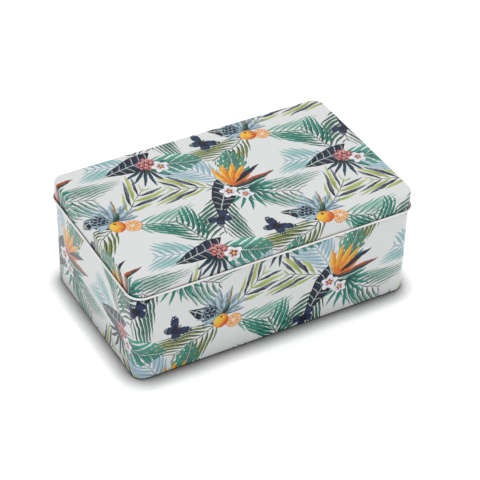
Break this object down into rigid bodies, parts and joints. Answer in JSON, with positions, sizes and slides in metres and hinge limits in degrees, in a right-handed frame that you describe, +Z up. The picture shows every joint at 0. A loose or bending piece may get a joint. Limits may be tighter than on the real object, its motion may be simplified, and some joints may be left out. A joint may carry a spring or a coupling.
{
  "type": "metal lunch box",
  "caption": "Rectangular tinplate lunch box with rounded corners, printed outside, with a slip-on lid that lifts straight off.",
  "frame": {"origin": "under the middle of the closed box, on the surface that it stands on", "axes": "+X along the box, +Y to its back, where the side seam is, +Z up through the lid"},
  "size_m": [0.2044, 0.1254, 0.08],
  "materials": {
    "printed_tinplate": "white enamel with a coloured print under gloss varnish, bare tinplate on the inside",
    "bare_tinplate": "plain bright tinplate, lightly scuffed"
  },
  "bodies": {
    "box": {"body_wall": "printed_tinplate", "bottom_panel": "bare_tinplate"},
    "lid": {"lid": "printed_tinplate"}
  },
  "joints": [
    {"name": "lid_lift", "type": "slide", "parent": "box", "child": "lid", "axis": [0, 0, 1], "range_m": [0, 0.1]}
  ]
}
